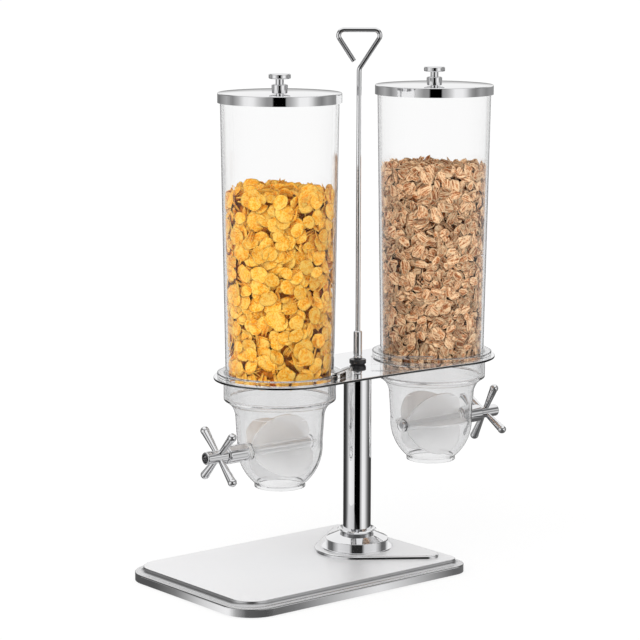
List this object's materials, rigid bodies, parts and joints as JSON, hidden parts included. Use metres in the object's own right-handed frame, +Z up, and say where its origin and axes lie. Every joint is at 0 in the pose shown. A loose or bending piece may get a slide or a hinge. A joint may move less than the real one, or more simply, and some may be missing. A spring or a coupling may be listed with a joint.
{
  "type": "gravity dispenser for dry food",
  "caption": "Table-top gravity dispenser for dry food: clear lidded tubes and bowls with knob-turned portion wheels on a turning plate, weighted base, column and carrying loop.",
  "frame": {"origin": "on the column's axis at table level, in the plane of the pad's underside", "axes": "+Z up along the column, +X along the base towards its short end and along the plate towards the right container at rest, +Y across the base"},
  "size_m": [0.5125, 0.251, 0.676],
  "materials": {
    "base_chrome": "polished",
    "column_chrome": "polished",
    "polished_plate": "polished",
    "trim_chrome": "polished",
    "knob_chrome": "polished",
    "lid_chrome": "polished",
    "plain_steel": "satin",
    "black_plastic": "satin",
    "white_plastic": "satin",
    "pad_rubber": "matte",
    "clear_silicone": "satin",
    "wheel_silicone": "satin",
    "clear_bowl": "gloss",
    "clear_tube": "gloss",
    "corn_flakes": "matte",
    "wheat_flakes": "matte"
  },
  "bodies": {
    "stand": {"base_shell": "base_chrome", "base_pad": "pad_rubber", "bottom_cover": "black_plastic", "weight_plate": "plain_steel", "cover_screws": "plain_steel", "clamp_disc": "plain_steel", "column_bolt": "plain_steel", "column_washer": "plain_steel", "column_plug": "plain_steel", "column_foot": "trim_chrome", "column_tube": "column_chrome", "column_spindle": "plain_steel", "thrust_washer": "white_plastic", "clamp_nut": "black_plastic", "handle_neck": "trim_chrome", "handle_ferrule": "trim_chrome", "handle_rod": "trim_chrome"},
    "turntable": {"support_plate": "polished_plate", "bowl_left": "clear_bowl", "shaft_bush_left": "white_plastic", "tube_gasket_left": "clear_silicone", "bowl_right": "clear_bowl", "shaft_bush_right": "white_plastic", "tube_gasket_right": "clear_silicone"},
    "portioner_left": {"wheel_shaft_left": "plain_steel", "portion_wheel_left": "wheel_silicone", "knob_sleeve_left": "knob_chrome", "cross_knob_left": "knob_chrome", "knob_screw_left": "plain_steel"},
    "hopper_left": {"storage_tube_left": "clear_tube", "cereal_left": "corn_flakes"},
    "lid_set_left": {"lid_left": "lid_chrome", "lid_liner_left": "white_plastic", "lid_knob_left": "lid_chrome", "lid_screw_left": "plain_steel"},
    "portioner_right": {"wheel_shaft_right": "plain_steel", "portion_wheel_right": "wheel_silicone", "knob_sleeve_right": "knob_chrome", "cross_knob_right": "knob_chrome", "knob_screw_right": "plain_steel"},
    "hopper_right": {"storage_tube_right": "clear_tube", "cereal_right": "wheat_flakes"},
    "lid_set_right": {"lid_right": "lid_chrome", "lid_liner_right": "white_plastic", "lid_knob_right": "lid_chrome", "lid_screw_right": "plain_steel"}
  },
  "joints": [
    {"name": "plate_turn", "type": "hinge", "parent": "stand", "child": "turntable", "pos_m": [0, 0, 0.2543], "axis": [0, 0, 1], "continuous": true},
    {"name": "knob_turn_left", "type": "hinge", "parent": "turntable", "child": "portioner_left", "pos_m": [-0.1245, 0, 0.168], "axis": [-1, 0, 0], "continuous": true},
    {"name": "tube_lift_left", "type": "slide", "parent": "turntable", "child": "hopper_left", "axis": [0, 0, 1], "range_m": [0, 0.05]},
    {"name": "lid_lift_left", "type": "slide", "parent": "hopper_left", "child": "lid_set_left", "axis": [0, 0, 1], "range_m": [0, 0.06]},
    {"name": "knob_turn_right", "type": "hinge", "parent": "turntable", "child": "portioner_right", "pos_m": [0.1245, 0, 0.168], "axis": [1, 0, 0], "continuous": true},
    {"name": "tube_lift_right", "type": "slide", "parent": "turntable", "child": "hopper_right", "axis": [0, 0, 1], "range_m": [0, 0.05]},
    {"name": "lid_lift_right", "type": "slide", "parent": "hopper_right", "child": "lid_set_right", "axis": [0, 0, 1], "range_m": [0, 0.06]}
  ]
}
